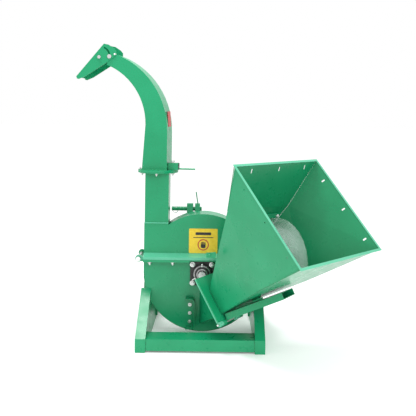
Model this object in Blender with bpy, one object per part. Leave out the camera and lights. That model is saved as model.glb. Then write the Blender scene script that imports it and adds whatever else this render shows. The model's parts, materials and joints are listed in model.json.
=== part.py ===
"""Three-point-hitch disc wood chipper, modelled as separate sub-parts.

The design frame has X to the right, Y away from the feed side (towards the tractor) and Z up.
X = 0 is the rotor axis, Y = 0 the front face of the rotor housing and Z = 0 the ground.
SHIFT moves that frame so that the world origin is under the middle of the whole machine.
"""
import math

import bmesh
import bpy
from mathutils import Matrix, Vector

# ---------------------------------------------------------------- driving dimensions (metres)
SHIFT = Vector((-0.09365, 0.08161, 0.0))
GAP = 0.0004                 # clearance between neighbouring solids
SHEET = 0.004                # housing and frame sheet
THIN = 0.003                 # hopper and chute sheet

ROTOR_Z = 0.350              # height of the shaft
HOUSING_R = 0.322            # outer radius of the rotor housing
HOUSING_DEPTH = 0.130        # front face to rear face
SPLIT_Z = 0.4275             # where the upper housing half lifts off
SHOULDER_Z = 0.620           # top of the square shoulder under the chute

HALF_BASE = 0.333            # half the width over the skids
SKID_WIDTH = 0.053
SKID_FRONT = -0.262
SKID_REAR = 0.500
SKID_HEIGHT = 0.070
SKID_CROWN = 0.264           # where the sloping legs meet the housing
BEAM_LIFT = 0.010
INNER_HALF = HALF_BASE - SKID_WIDTH - GAP
HITCH_T = 0.010

TUBE_LEFT, TUBE_RIGHT = -0.320, -0.190
SWIVEL = Vector((-0.2550, HOUSING_DEPTH / 2, 0.900))
SWIVEL_R = 0.112
SWIVEL_TURN = math.radians(-8)   # how far the chute is turned at rest

ELBOW_BASE = (-0.333, -0.193)
ELBOW_START = 0.911
OUTER_ARC = (-0.6472, 1.1218, 0.4542)    # centre x, centre z, radius
INNER_ARC = (-0.6695, 1.1600, 0.3535)
ELBOW_TURN = math.radians(69)
CAP_PIVOT = Vector((-0.583, HOUSING_DEPTH / 2, 1.532))
CAP_LOCK = (-0.524, 1.535)

LOCK_AXIS = (-0.166, 0.040)              # x, y of the swivel's lock pin
LOCK_PIN_R = 0.0058
HINGE = Vector((-0.349, HOUSING_DEPTH / 2, SPLIT_Z))

MOUTH_CENTRE = Vector((0.535, -0.348, 0.7585))
MOUTH_YAW, MOUTH_TILT = math.radians(45.3), math.radians(43.4)
MOUTH_WIDTH, MOUTH_HEIGHT = 0.660, 0.591
FLANGE_CORNER = Vector((-0.031, -0.200, 0.363))
FLANGE_YAW, FLANGE_TILT = math.radians(56.4), math.radians(35.2)
FLANGE_WIDTH, FLANGE_HEIGHT = 0.222, 0.245
THROAT_IN, THROAT_DOWN = 0.057, 0.076    # throat corner measured from the flange corner
THROAT_WIDTH, THROAT_HEIGHT = 0.145, 0.136
FLANGE_T = 0.006

HINGE_PIN_R = 0.008
LUG_R = 0.0185
SHAFT_R = 0.020
SHAFT_HOLE_R = 0.030
DISC_R = 0.300
DISC_Y = (0.024, 0.038)
KNIFE_Y = (0.010, 0.0235)
PADDLE_Y = (0.0385, 0.108)
BACK_SHEET = 0.006           # the lower back plate carries the rear bearing
LINK_PIN = (0.530, 0.190)    # y, z of the lower hitch pins
LINK_PIN_R = 0.011
LINK_PIN_REACH = 0.047       # how far the pins stand out past the skids
TOP_PIN = (0.208, 0.671)     # y, z of the top link pin
TOP_PIN_R = 0.012
GUARD_R = 0.110
CURTAIN_HALF = 0.185
CURTAIN_DROP, CURTAIN_REACH = 0.250, 0.200


# ---------------------------------------------------------------- scene, bodies and materials
def clear_scene():
    for old in list(bpy.data.objects):
        bpy.data.objects.remove(old, do_unlink=True)


def paint(name, colour, roughness, metallic=0.0):
    material = bpy.data.materials.new(name)
    material.use_nodes = True
    shader = material.node_tree.nodes["Principled BSDF"]
    shader.inputs["Base Color"].default_value = (*colour, 1.0)
    shader.inputs["Roughness"].default_value = roughness
    shader.inputs["Metallic"].default_value = metallic
    return material


clear_scene()
GREEN = paint("green_paint", (0.05, 0.42, 0.20), 0.35)
STEEL = paint("bright_steel", (0.62, 0.62, 0.60), 0.35, 1.0)
ZINC = paint("zinc_plate", (0.72, 0.72, 0.72), 0.30, 1.0)
CAST = paint("black_cast_iron", (0.03, 0.03, 0.03), 0.55, 0.4)
PLASTIC = paint("clear_pvc", (0.75, 0.85, 0.82), 0.15)


def body(name, pivot, parent=None, turn=0.0):
    """An empty on a joint axis; the pieces of one moving group hang from it."""
    empty = bpy.data.objects.new(name, None)
    bpy.context.scene.collection.objects.link(empty)
    empty["pivot"] = tuple(pivot)
    if parent is None:
        empty.location = Vector(pivot) + SHIFT
    else:
        empty.parent = parent
        empty.location = Vector(pivot) - Vector(parent["pivot"])
    empty.rotation_euler = (0.0, 0.0, turn)
    return empty


FRAME = body("frame_body", (0.0, 0.0, 0.0))
ROTOR = body("rotor_body", (0.0, 0.0, ROTOR_Z), FRAME)
LID = body("upper_housing_body", HINGE, FRAME)
CHUTE = body("chute_body", SWIVEL, LID, SWIVEL_TURN)
CAP = body("deflector_body", CAP_PIVOT, CHUTE)
LOCK = body("lock_pin_body", (LOCK_AXIS[0], LOCK_AXIS[1], 0.93), CHUTE)


# ---------------------------------------------------------------- mesh helpers
def add(name, mesh_data, parent, material, smooth=False):
    """Turn a bmesh drawn in the design frame into a named object hung from a body."""
    mesh_data.normal_update()
    bmesh.ops.translate(mesh_data, verts=mesh_data.verts, vec=-Vector(parent["pivot"]))
    bmesh.ops.recalc_face_normals(mesh_data, faces=mesh_data.faces)
    if mesh_data.calc_volume(signed=True) < 0:
        bmesh.ops.reverse_faces(mesh_data, faces=mesh_data.faces)
    mesh = bpy.data.meshes.new(name)
    mesh_data.to_mesh(mesh)
    mesh_data.free()
    if smooth:
        mesh.shade_smooth()
        mesh.set_sharp_from_angle(angle=math.radians(35))
    mesh.materials.append(material)
    thing = bpy.data.objects.new(name, mesh)
    thing.parent = parent
    bpy.context.scene.collection.objects.link(thing)
    return thing


def prism(outline, start, end, axis="Y"):
    """Extrude a closed outline; axis Y takes (x, z) pairs, X takes (y, z), Z takes (x, y)."""
    place = {
        "Y": lambda p, t: (p[0], t, p[1]),
        "X": lambda p, t: (t, p[0], p[1]),
        "Z": lambda p, t: (p[0], p[1], t),
    }[axis]
    data = bmesh.new()
    near = [data.verts.new(place(p, start)) for p in outline]
    far = [data.verts.new(place(p, end)) for p in outline]
    data.faces.new(near)
    data.faces.new(list(reversed(far)))
    for i in range(len(outline)):
        j = (i + 1) % len(outline)
        data.faces.new((near[i], far[i], far[j], near[j]))
    return data


def box(low, high):
    return prism([(low[0], low[2]), (high[0], low[2]), (high[0], high[2]), (low[0], high[2])],
                 low[1], high[1])


def circle(cx, cz, radius, steps, start=0.0, sweep=2 * math.pi, closed=True):
    count = steps if closed else steps + 1
    return [(cx + radius * math.cos(start + sweep * i / steps),
             cz + radius * math.sin(start + sweep * i / steps)) for i in range(count)]


def cylinder(centre, radius, start, end, steps=32, axis="Y"):
    return prism(circle(centre[0], centre[1], radius, steps), start, end, axis)


def loft(rings):
    """Join closed rings of points into a tube whose first and last rings are joined too."""
    data = bmesh.new()
    rows = [[data.verts.new(p) for p in ring] for ring in rings]
    for k in range(len(rows)):
        a, b = rows[k], rows[(k + 1) % len(rows)]
        for i in range(len(a)):
            j = (i + 1) % len(a)
            data.faces.new((a[i], a[j], b[j], b[i]))
    return data


def combine(thing, other, operation="DIFFERENCE"):
    """Cut one object with another, or join it on; the second object stays as a guide."""
    modifier = thing.modifiers.new(operation.lower(), "BOOLEAN")
    modifier.operation = operation
    modifier.solver = "EXACT"
    modifier.object = other
    other.hide_render = True
    other.display_type = "WIRE"


def cut(thing, name, mesh_data):
    parent = thing.parent
    combine(thing, add("cut_" + name, mesh_data, parent, GREEN))


def join(thing, name, mesh_data):
    parent = thing.parent
    combine(thing, add("join_" + name, mesh_data, parent, GREEN), "UNION")


def hexagon(centre, across_flats, start, end, axis="Y"):
    return prism(circle(centre[0], centre[1], across_flats / math.sqrt(3), 6), start, end, axis)


# ---------------------------------------------------------------- base frame
def skid_outline(inset):
    """Side view of a skid: front foot, sloping leg, saddle under the housing, rear leg."""
    top = SKID_CROWN - inset
    saddle = 0.150
    rise = (SKID_CROWN - SKID_HEIGHT) / -SKID_FRONT
    front, rear = SKID_FRONT + inset, SKID_REAR - inset
    lead = -0.0015 - inset
    lag = HOUSING_DEPTH + 0.0015 + inset
    start = SKID_CROWN - inset * 1.25
    return [
        (front, -0.02 if inset else 0.0), (front, SKID_HEIGHT - inset * 1.25),
        (lead, start + rise * lead), (lead, saddle - inset), (lag, saddle - inset),
        (lag, top - 0.004), (rear, SKID_HEIGHT - inset * 1.25), (rear, -0.02 if inset else 0.0),
    ]


def make_skid(side):
    name = "skid_left" if side < 0 else "skid_right"
    outer, inner = side * HALF_BASE, side * (HALF_BASE - SKID_WIDTH)
    low, high = min(outer, inner), max(outer, inner)
    skid = add(name, prism(skid_outline(0.0), low, high, "X"), FRAME, GREEN)
    cut(skid, name, prism(skid_outline(SHEET), low + SHEET, high - SHEET, "X"))


def make_beam(name, front, depth, half):
    """Folded channel, open downwards, between the skids."""
    low, high = BEAM_LIFT, SKID_HEIGHT - 0.001
    beam = add(name, box((-half, front, low), (half, front + depth, high)), FRAME, GREEN)
    cut(beam, name, box((-half - 0.01, front + SHEET, low - 0.01),
                        (half + 0.01, front + depth - SHEET, high - SHEET)))


# ---------------------------------------------------------------- rotor housing
def lower_outline(radius):
    """Housing outline below the split: square at the left, round at the right."""
    right = math.asin((SPLIT_Z - ROTOR_Z) / radius)
    arc = circle(0.0, ROTOR_Z, radius, 40, -math.pi, math.pi + right, closed=False)
    return [(-radius, SPLIT_Z - GAP)] + arc[:-1] + [(arc[-1][0], SPLIT_Z - GAP)]


def upper_outline(radius, grow=0.0):
    """Housing outline above the split, with the square shoulder that carries the chute."""
    base = SPLIT_Z + GAP
    start = math.asin((base - ROTOR_Z) / radius)
    shoulder = TUBE_RIGHT - grow
    stop = math.acos(shoulder / radius)
    arc = circle(0.0, ROTOR_Z, radius, 24, start, stop - start, closed=False)
    top = SHOULDER_Z - grow
    return arc + [(shoulder, top), (-radius, top), (-radius, base)]


def open_shell(outer, inner, start, end):
    """A rim of sheet between two outlines of the same number of points, open where they end."""
    return prism(outer + list(reversed(inner)), start, end)


THROAT_PORT = [(-0.010, 0.262), (-0.010, 0.074), (0.145, 0.120), (0.145, 0.262)]


def make_lower_housing():
    front = add("lower_front_plate", prism(lower_outline(HOUSING_R), 0.0, SHEET), FRAME, GREEN)
    cut(front, "front_shaft_hole", cylinder((0.0, ROTOR_Z), SHAFT_HOLE_R, -0.02, 0.02))
    cut(front, "throat_port", prism(THROAT_PORT, -0.02, 0.02))
    back = add("lower_back_plate",
               prism(lower_outline(HOUSING_R), HOUSING_DEPTH - BACK_SHEET, HOUSING_DEPTH), FRAME,
               GREEN)
    cut(back, "back_shaft_hole", cylinder((0.0, ROTOR_Z), SHAFT_HOLE_R, 0.11, 0.15))
    rim_outer = lower_outline(HOUSING_R)
    rim_inner = lower_outline(HOUSING_R - SHEET)
    add("lower_rim",
        open_shell(rim_outer, rim_inner, SHEET + GAP, HOUSING_DEPTH - BACK_SHEET - GAP), FRAME,
        GREEN)


def flange_bar(name, upper, rear, parent):
    """One half of the bolted split flange, with its hinge lug at the left end."""
    side = 1 if rear else -1
    face = HOUSING_DEPTH + GAP if rear else -GAP
    reach = 0.034 if rear else 0.048
    edge = face + side * reach
    if upper:
        outline = [(face, SPLIT_Z + GAP), (edge, SPLIT_Z + GAP), (edge, SPLIT_Z + 0.014),
                   (face, SPLIT_Z + 0.029)]
    else:
        outline = [(face, SPLIT_Z - GAP), (edge, SPLIT_Z - GAP), (edge, SPLIT_Z - 0.013),
                   (face, SPLIT_Z - 0.013)]
    right = 0.290 if rear else 0.140
    bar = add(name, prism(outline, -HOUSING_R, right, "X"), parent, GREEN)
    if not upper and not rear:
        cut(bar, "bearing_notch", box((-0.070, -0.1, 0.30), (0.070, 0.02, SPLIT_Z - 0.0055)))
    if not upper and rear:
        cut(bar, "rear_bearing_notch", box((-0.070, 0.1, 0.30), (0.070, 0.22, SPLIT_Z - 0.0055)))
    return bar


def hinge_lug(bar, upper, rear):
    """A drilled eye round the hinge pin, joined to the flange bar by a tapering plate."""
    offset = 0.0085
    middle = HOUSING_DEPTH + 0.012 if rear else -0.012
    start = middle - offset if upper else middle + GAP
    end = middle - GAP if upper else middle + offset
    if upper:
        root = [(-0.328, SPLIT_Z - 0.006), (-0.3235, SPLIT_Z + GAP), (-0.300, SPLIT_Z + GAP),
                (-0.300, SPLIT_Z + 0.0125)]
        outline = circle(HINGE.x, HINGE.z, LUG_R, 18, math.radians(50), math.radians(250),
                         closed=False) + root
    else:
        root = [(-0.300, SPLIT_Z - 0.0125), (-0.300, SPLIT_Z - GAP), (-0.3235, SPLIT_Z - GAP),
                (-0.328, SPLIT_Z + 0.006)]
        outline = circle(HINGE.x, HINGE.z, LUG_R, 18, math.radians(30), math.radians(260),
                         closed=False) + root
    join(bar, bar.name + "_lug", prism(outline, start, end))
    eye = cylinder((HINGE.x, HINGE.z), HINGE_PIN_R + 0.0005, -0.08, 0.2, 20)
    cut(bar, bar.name + "_eye", eye)


def make_split_flanges():
    for rear in (False, True):
        place = "rear" if rear else "front"
        for upper, parent in ((False, FRAME), (True, LID)):
            level = "upper" if upper else "lower"
            bar = flange_bar(f"{level}_split_flange_{place}", upper, rear, parent)
            hinge_lug(bar, upper, rear)
    pin = add("housing_hinge_pin",
              cylinder((HINGE.x, HINGE.z), HINGE_PIN_R, -0.030, 0.160, 20), FRAME, ZINC, True)
    join(pin, "pin_head", hexagon((HINGE.x, HINGE.z), 0.024, -0.036, -0.0260))


def make_upper_housing():
    add("upper_front_plate", prism(upper_outline(HOUSING_R), 0.0, SHEET), LID, GREEN)
    add("upper_back_plate",
        prism(upper_outline(HOUSING_R), HOUSING_DEPTH - SHEET, HOUSING_DEPTH), LID, GREEN)
    outer = upper_outline(HOUSING_R)[:-3]
    inner = upper_outline(HOUSING_R - SHEET, SHEET)[:-3]
    inside_start, inside_end = SHEET + GAP, HOUSING_DEPTH - SHEET - GAP
    add("upper_rim", open_shell(outer, inner, inside_start, inside_end), LID, GREEN)
    add("upper_side_wall",
        box((-HOUSING_R, inside_start, SPLIT_Z + GAP), (-HOUSING_R + SHEET, inside_end, SHOULDER_Z)),
        LID, GREEN)
    bottom, top = SHOULDER_Z + GAP, SWIVEL.z - 0.005 - GAP
    rings = []
    for z, wall in ((bottom, 0.0), (top, 0.0), (top, THIN), (bottom, THIN)):
        rings.append([(TUBE_LEFT + wall, wall, z), (TUBE_RIGHT - wall, wall, z),
                      (TUBE_RIGHT - wall, HOUSING_DEPTH - wall, z),
                      (TUBE_LEFT + wall, HOUSING_DEPTH - wall, z)])
    add("chute_base_tube", loft(rings), LID, GREEN)
    ring = add("base_swivel_flange",
               cylinder((SWIVEL.x, SWIVEL.y), SWIVEL_R, SWIVEL.z - 0.005, SWIVEL.z, 48, "Z"),
               LID, GREEN, True)
    cut(ring, "base_flange_bore", box((TUBE_LEFT + 0.004, 0.004, 0.8),
                                      (TUBE_RIGHT - 0.004, HOUSING_DEPTH - 0.004, 1.0)))


# ---------------------------------------------------------------- chute and deflector
def elbow_profile(inset):
    """Pairs of outer and inner points of the chute's side view, from the flange to the outlet."""
    steps = 14
    ox, oz, orad = OUTER_ARC
    ix, iz, irad = INNER_ARC
    pairs = [((ELBOW_BASE[1] - inset, ELBOW_START), (ELBOW_BASE[0] + inset, ELBOW_START))]
    for i in range(steps + 1):
        turn = ELBOW_TURN * i / steps
        outer = (ox + (orad - inset) * math.cos(turn), oz + (orad - inset) * math.sin(turn))
        inner = (ix + (irad + inset) * math.cos(turn), iz + (irad + inset) * math.sin(turn))
        pairs.append((outer, inner))
    return pairs


def elbow_ring(pair, wall):
    (x1, z1), (x2, z2) = pair
    near, far = wall, HOUSING_DEPTH - wall
    return [(x1, near, z1), (x1, far, z1), (x2, far, z2), (x2, near, z2)]


def make_chute():
    outside = [elbow_ring(pair, 0.0) for pair in elbow_profile(0.0)]
    inside = [elbow_ring(pair, THIN) for pair in elbow_profile(THIN)]
    elbow = add("chute_elbow", loft(outside + list(reversed(inside))), CHUTE, GREEN)
    for label, near in (("near", 0.0), ("far", HOUSING_DEPTH - THIN)):
        px, pz = CAP_PIVOT.x, CAP_PIVOT.z
        ear = circle(px, pz, 0.020, 14, math.radians(75), math.radians(190), closed=False)
        ear += [(-0.530, 1.496), (-0.490, 1.520), (-0.500, 1.545)]
        join(elbow, f"ear_{label}", prism(ear, near, near + THIN))
    ring = add("elbow_swivel_flange",
               cylinder((SWIVEL.x, SWIVEL.y), SWIVEL_R, SWIVEL.z + 0.0005, SWIVEL.z + 0.0105, 48,
                        "Z"), CHUTE, GREEN, True)
    cut(ring, "elbow_flange_bore", box((ELBOW_BASE[0] + 0.010, 0.004, 0.8),
                                       (ELBOW_BASE[1] - 0.006, HOUSING_DEPTH - 0.004, 1.0)))
    low = SWIVEL.z + 0.0109
    lock = add("lock_box", box((-0.190, 0.022, low), (-0.134, 0.058, 0.950)), CHUTE, GREEN)
    cut(lock, "lock_bore", cylinder(LOCK_AXIS, LOCK_PIN_R + 0.0007, 0.90, 0.96, 16, "Z"))
    pin = add("lock_pin", cylinder(LOCK_AXIS, LOCK_PIN_R, low + 0.001, 0.962, 16, "Z"), LOCK,
              ZINC, True)
    join(pin, "lock_pin_head", hexagon(LOCK_AXIS, 0.018, 0.9545, 0.9625, "Z"))
    add("swivel_handle", cylinder((0.035, 0.918), 0.0045, -0.1336, -0.041, 12, "X"), CHUTE, GREEN,
        True)


CAP_OUTLINE = [(-0.5585, 1.6066), (-0.716, 1.424), (-0.712, 1.412), (-0.701, 1.409),
               (-0.662, 1.425), (-0.5555, 1.492), (-0.488, 1.5395), (-0.4875, 1.565),
               (-0.5005, 1.5805), (-0.5315, 1.601)]


def make_deflector():
    """Hinged cap over the outlet: two side plates bent down from one sloping top plate."""
    clear = 0.0008
    near, far = -clear - THIN, HOUSING_DEPTH + clear + THIN
    cap = add("deflector_cap", prism(CAP_OUTLINE, near, far), CAP, GREEN)
    (top_x, top_z), (tip_x, tip_z) = CAP_OUTLINE[:2]
    inward = Vector((tip_z - top_z, top_x - tip_x)).normalized() * -THIN * 1.35
    hollow = [(top_x + inward.x, top_z + inward.y), (tip_x + inward.x, tip_z + inward.y),
              (-0.75, 1.37), (-0.40, 1.37), (-0.40, 1.70), (top_x + inward.x, 1.70)]
    cut(cap, "cap_hollow", prism(hollow, near + THIN, far - THIN))
    cut(cap, "cap_pivot", cylinder((CAP_PIVOT.x, CAP_PIVOT.z), 0.0070, -0.1, 0.3, 16))
    reach = math.hypot(CAP_LOCK[0] - CAP_PIVOT.x, CAP_LOCK[1] - CAP_PIVOT.z)
    outer, inner = (circle(CAP_PIVOT.x, CAP_PIVOT.z, reach + half, 10, math.radians(-7),
                           math.radians(72), closed=False) for half in (0.0052, -0.0052))
    cut(cap, "cap_slot", prism(outer + list(reversed(inner)), near - 0.01, near + 0.02))
    for name, (x, z), radius, head in (
            ("deflector_pivot_bolt", (CAP_PIVOT.x, CAP_PIVOT.z), 0.0055, 0.018),
            ("deflector_lock_bolt", CAP_LOCK, 0.0045, 0.022)):
        far_end = HOUSING_DEPTH + 0.016 if "pivot" in name else THIN + 0.006
        bolt = add(name, cylinder((x, z), radius, near - 0.006, far_end, 16), CHUTE, ZINC, True)
        join(bolt, name + "_head", hexagon((x, z), head, near - 0.009, near - 0.0005))


def clear_ear_holes():
    elbow = bpy.data.objects["chute_elbow"]
    cut(elbow, "ear_pivot", cylinder((CAP_PIVOT.x, CAP_PIVOT.z), 0.0062, -0.1, 0.3, 16))
    cut(elbow, "ear_lock", cylinder(CAP_LOCK, 0.0052, -0.1, 0.05, 16))


# ---------------------------------------------------------------- feed throat and hopper
def tilted_axes(yaw, tilt):
    """Across (level), down the face, and outward normal of a tilted rectangle."""
    across = Vector((math.cos(yaw), math.sin(yaw), 0.0))
    normal = Vector((math.sin(yaw) * math.cos(tilt), -math.cos(yaw) * math.cos(tilt),
                     math.sin(tilt)))
    return across, across.cross(normal), normal


M_ACROSS, M_DOWN, M_NORMAL = tilted_axes(MOUTH_YAW, MOUTH_TILT)
F_ACROSS, F_DOWN, F_NORMAL = tilted_axes(FLANGE_YAW, FLANGE_TILT)
HOPPER = body("hopper_body", FLANGE_CORNER + F_DOWN * (FLANGE_HEIGHT + 0.012)
              + F_NORMAL * 0.003, FRAME)


def flange_point(across, down, out=0.0):
    return FLANGE_CORNER + F_ACROSS * across + F_DOWN * down + F_NORMAL * out


def slab(points, thickness):
    """A flat plate from a loop of points, thickened along its normal."""
    normal = (points[1] - points[0]).cross(points[-1] - points[0]).normalized() * thickness
    data = bmesh.new()
    near = [data.verts.new(p) for p in points]
    far = [data.verts.new(p + normal) for p in points]
    data.faces.new(near)
    data.faces.new(list(reversed(far)))
    for i in range(len(points)):
        j = (i + 1) % len(points)
        data.faces.new((near[i], far[i], far[j], near[j]))
    return data


def throat_rectangle(out, grow=0.0):
    a, b = THROAT_IN - grow, THROAT_IN + THROAT_WIDTH + grow
    c, d = THROAT_DOWN - grow, THROAT_DOWN + THROAT_HEIGHT + grow
    return [flange_point(a, c, out), flange_point(a, d, out), flange_point(b, d, out),
            flange_point(b, c, out)]


def flange_plate(name, low, high, parent):
    corners = [(0.0, 0.0), (0.0, FLANGE_HEIGHT), (FLANGE_WIDTH, FLANGE_HEIGHT),
               (FLANGE_WIDTH, 0.0)]
    plate = add(name, slab([flange_point(a, b, low) for a, b in corners], high - low), parent,
                GREEN)
    opening = throat_rectangle(low - 0.02)
    cut(plate, name + "_opening", slab(opening, 0.06))
    return plate


def make_throat():
    """Skewed box from the port in the housing front to the bolted throat flange."""
    port_outer = [Vector((x, -GAP, z)) for x, z in THROAT_PORT]
    middle = sum(port_outer, Vector()) / 4
    port_inner = [p + (middle - p).normalized() * 0.0056 for p in port_outer]
    port_outer = [p - (middle - p).normalized() * 0.004 for p in port_outer]
    end = -FLANGE_T - GAP
    rings = [port_outer, throat_rectangle(end, 0.004), throat_rectangle(end, 0.0), port_inner]
    duct = loft(rings)
    bmesh.ops.triangulate(duct, faces=duct.faces, quad_method="SHORT_EDGE")
    add("feed_throat", duct, FRAME, GREEN)
    flange_plate("throat_flange", -FLANGE_T, 0.0, FRAME)


def between(a, b, share):
    return a + (b - a) * share


def hopper_corners():
    """Named corners of the hopper's inner surface."""
    half = M_ACROSS * (MOUTH_WIDTH / 2 - THIN)
    drop = M_DOWN * (MOUTH_HEIGHT / 2 - THIN)
    mouth = {
        "near_top": MOUTH_CENTRE - half - drop, "far_top": MOUTH_CENTRE + half - drop,
        "far_low": MOUTH_CENTRE + half + drop, "near_low": MOUTH_CENTRE - half + drop,
    }
    start = FLANGE_T + 0.0035
    rect = throat_rectangle(start, -0.001)
    throat = dict(zip(("near_top", "near_low", "far_low", "far_top"), rect))
    bend = {
        "near_top": Vector((0.130, -0.370, 0.745)),
        "far_top": Vector((0.466, -0.022, 0.731)),
        "near_low": Vector((0.286, -0.502, 0.394)),
        "far_low": between(mouth["far_low"], throat["far_low"], 0.5) - Vector((0, 0, 0.010)),
    }
    knee = between(bend["near_top"], throat["near_top"], 0.69)
    return mouth, bend, knee, throat


def thick_surface(faces, away_from, thickness, edge_gap=0.0006):
    """A folded plate: shares the folds of its faces and grows away from a point inside."""
    keys, data = {}, bmesh.new()
    middle = sum((p for f in faces for p in f), Vector()) / sum(len(f) for f in faces)

    def vert(p):
        key = tuple(round(c, 6) for c in p)
        if key not in keys:
            keys[key] = data.verts.new(p + (middle - p).normalized() * edge_gap)
        return keys[key]

    for face in faces:
        data.faces.new([vert(p) for p in face])
    bmesh.ops.triangulate(data, faces=data.faces)
    bmesh.ops.recalc_face_normals(data, faces=data.faces)
    data.normal_update()
    facing = sum((f.normal * f.calc_area() for f in data.faces), Vector())
    if facing.dot(away_from - middle) > 0:
        bmesh.ops.reverse_faces(data, faces=data.faces)
        data.normal_update()
    normals = {v: v.normal.copy() for v in data.verts}
    shell = bmesh.ops.duplicate(data, geom=data.verts[:] + data.edges[:] + data.faces[:])
    pairs = shell["vert_map"]
    for v, normal in normals.items():
        pairs[v].co = v.co + normal * thickness
    borders = [e for e in data.edges
               if len(e.link_faces) == 1 and all(v in normals for v in e.verts)]
    for edge in borders:
        a, b = edge.verts
        data.faces.new((a, b, pairs[b], pairs[a]))
    bmesh.ops.recalc_face_normals(data, faces=data.faces)
    return data


def slot_along(centre, direction, normal, length, width):
    """A round-ended slot cutter through a plate."""
    side = normal.cross(direction).normalized()
    half = length / 2 - width / 2
    loop = []
    for sign, start in ((1, -75), (-1, 105)):
        for i in range(6):
            angle = math.radians(start + 30 * i)
            loop.append(centre + direction * (sign * half + math.cos(angle) * width / 2)
                        + side * (math.sin(angle) * width / 2) - normal * 0.03)
    return slab(loop, 0.06)


def make_hopper():
    mouth, bend, knee, throat = hopper_corners()
    inside = (MOUTH_CENTRE + sum(throat.values(), Vector()) / 4) / 2
    near = [[mouth["near_top"], bend["near_top"], knee, bend["near_low"], mouth["near_low"]],
            [knee, throat["near_top"], throat["near_low"], bend["near_low"]]]
    top = [[mouth["near_top"], mouth["far_top"], bend["far_top"], bend["near_top"]],
           [bend["near_top"], bend["far_top"], throat["far_top"], throat["near_top"], knee]]
    far = [[mouth["far_top"], mouth["far_low"], bend["far_low"], bend["far_top"]],
           [bend["far_top"], bend["far_low"], throat["far_low"], throat["far_top"]]]
    low = [[mouth["near_low"], bend["near_low"], bend["far_low"], mouth["far_low"]],
           [bend["near_low"], throat["near_low"], throat["far_low"], bend["far_low"]]]
    plates = {}
    for name, faces in (("near", near), ("top", top), ("far", far), ("bottom", low)):
        data = thick_surface(faces, inside, THIN)
        plates[name] = add(f"hopper_{name}_plate", data, HOPPER, GREEN)
    plan = (("top", mouth["near_top"], mouth["far_top"], bend["near_top"], 0.026, 0.009),
            ("far", mouth["far_top"], mouth["far_low"], bend["far_top"], 0.020, 0.009),
            ("near", mouth["near_top"], mouth["near_low"], bend["near_top"], 0.009, 0.009))
    for name, first, last, back, length, width in plan:
        run = (last - first).normalized()
        inward = (back - first) - run * (back - first).dot(run)
        inward.normalize()
        for index, share in enumerate((0.20, 0.53, 0.86)):
            centre = between(first, last, share) + inward * 0.032
            cutter = slot_along(centre, inward, run.cross(inward).normalized(), length, width)
            cut(plates[name], f"{name}_slot_{index}", cutter)
    flange_plate("hopper_flange", 0.0004, FLANGE_T + 0.0004, HOPPER)


def make_hopper_stiffener():
    """Stiffening tray welded under the hopper's bottom plate."""
    _, bend, _, throat = hopper_corners()
    start = between(throat["near_low"], throat["far_low"], 0.35) + F_NORMAL * 0.012
    finish = between(bend["near_low"], bend["far_low"], 0.62)
    finish = between(start, finish, 0.90)
    run = (finish - start).normalized()
    side = F_ACROSS
    under = run.cross(side).normalized()
    if under.z > 0:
        under = -under
    begin = start + under * 0.010
    stop = finish + under * 0.024
    tray_points = []
    for end in (begin, stop):
        tray_points.append([end - side * 0.045, end + side * 0.075,
                            end + side * 0.075 + under * 0.034, end - side * 0.045 + under * 0.034])
    data = bmesh.new()
    rows = [[data.verts.new(p) for p in row] for row in tray_points]
    data.faces.new(rows[0])
    data.faces.new(list(reversed(rows[1])))
    for i in range(4):
        j = (i + 1) % 4
        data.faces.new((rows[0][i], rows[1][i], rows[1][j], rows[0][j]))
    tray = add("hopper_stiffener", data, HOPPER, GREEN)
    inner = [begin - run * 0.02 - side * 0.042 + under * 0.003, stop + run * 0.02 - side * 0.042
             + under * 0.003, stop + run * 0.02 + side * 0.072 + under * 0.003,
             begin - run * 0.02 + side * 0.072 + under * 0.003]
    normal = (inner[1] - inner[0]).cross(inner[-1] - inner[0]).normalized()
    depth = 0.028 if normal.dot(under) > 0 else -0.028
    hollow = slab(inner, depth)
    cut(tray, "tray_hollow", hollow)


def curtain_axes():
    """Along the clamp strip, down the top plate, into the hopper, and the strip's middle."""
    _, bend, _, throat = hopper_corners()
    run = (bend["far_top"] - bend["near_top"]).normalized()
    down = between(throat["near_top"], throat["far_top"], 0.5) - between(
        bend["near_top"], bend["far_top"], 0.5)
    down = (down - run * down.dot(run)).normalized()
    normal = run.cross(down).normalized()
    inside = MOUTH_CENTRE - bend["near_top"]
    if normal.dot(inside) < 0:
        normal = -normal
    middle = between(bend["near_top"], bend["far_top"], 0.5) + down * 0.055
    return run, down, normal, middle


def make_curtain():
    """Clamp strip across the top plate and the clear curtain that hangs from it."""
    run, down, normal, middle = curtain_axes()
    half = CURTAIN_HALF
    low = middle + normal * 0.0045
    strip = [low - run * half - down * 0.014, low + run * half - down * 0.014,
             low + run * half + down * 0.014, low - run * half + down * 0.014]
    add("curtain_clamp_strip", slab(strip, 0.003 if is_up(strip, normal) else -0.003), HOPPER,
        GREEN)
    curtain = body("curtain_body", low + normal * 0.010 + down * 0.014, HOPPER)
    top = low + normal * 0.0045 + down * 0.0155
    fall = Vector((0.0, 0.0, -1.0))
    out = (M_NORMAL - fall * M_NORMAL.dot(fall)).normalized()
    sweep = []
    for i in range(9):
        share = i / 8
        sweep.append(top + out * (CURTAIN_REACH * math.sin(share * math.pi / 2))
                     + fall * (CURTAIN_DROP * share ** 2))
    data = bmesh.new()
    side = run * (half - 0.004)
    rows = []
    for i, p in enumerate(sweep):
        along = sweep[min(i + 1, len(sweep) - 1)] - sweep[max(i - 1, 0)]
        thick = along.cross(run).normalized() * THIN
        rows.append([data.verts.new(q) for q in (p - side, p + side, p + side + thick,
                                                 p - side + thick)])
    for a, b in zip(rows, rows[1:]):
        for i in range(4):
            j = (i + 1) % 4
            data.faces.new((a[i], a[j], b[j], b[i]))
    data.faces.new(list(reversed(rows[0])))
    data.faces.new(rows[-1])
    add("feed_curtain", data, curtain, PLASTIC)


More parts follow.
